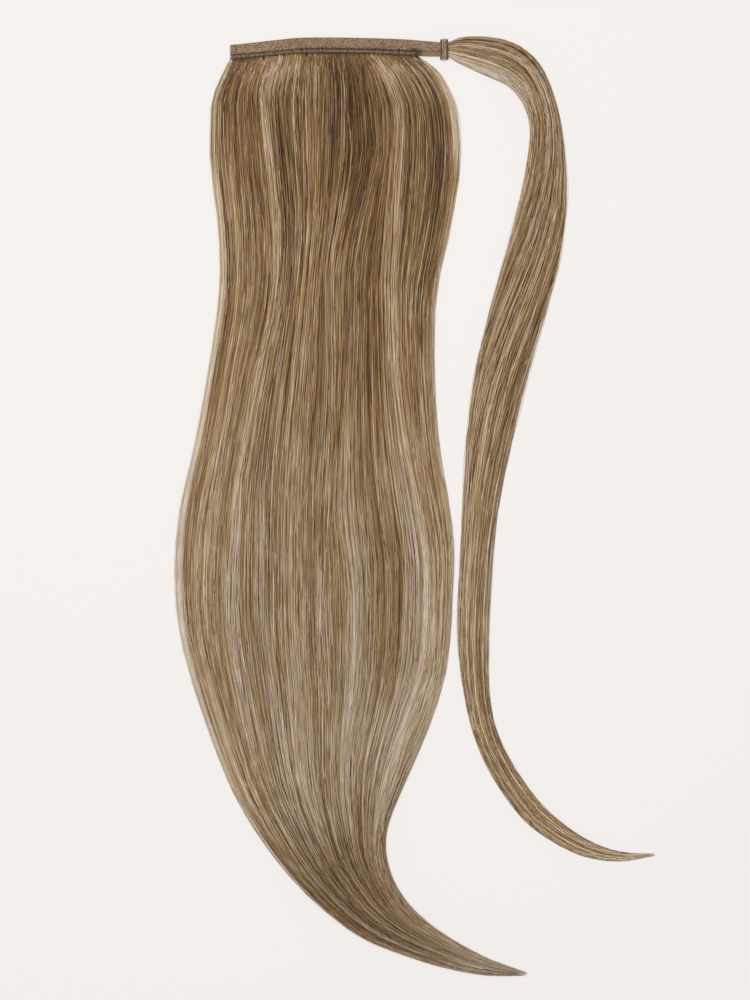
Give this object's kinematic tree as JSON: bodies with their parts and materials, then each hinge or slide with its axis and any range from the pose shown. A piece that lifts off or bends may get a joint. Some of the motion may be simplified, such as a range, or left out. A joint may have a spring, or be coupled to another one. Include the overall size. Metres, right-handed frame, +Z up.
{
  "type": "wrap-around ponytail hairpiece",
  "caption": "Straight wrap-around ponytail hairpiece lying flat: loop tape band, weft, long panel of brown and blond hair, and a bound strand that wraps the base.",
  "frame": {"origin": "middle of the fastening band's underside, on the surface that the hairpiece lies on", "axes": "+Z up from the surface, +X along the band towards the wrap strand, +Y from the hair's tips towards the band"},
  "size_m": [0.2784, 0.5439, 0.014],
  "materials": {
    "hair": "straight brown hair with blond streaks, soft sheen",
    "loop_tape": "tan loop pile, matt",
    "weft_thread": "dark stitched thread",
    "binding_thread": "dark wound thread with pale slack loops"
  },
  "bodies": {
    "root": {"loop_band": "loop_tape", "weft_track": "weft_thread", "hair_panel": "hair", "thread_binding": "binding_thread", "wrap_strand": "hair"}
  },
  "joints": []
}
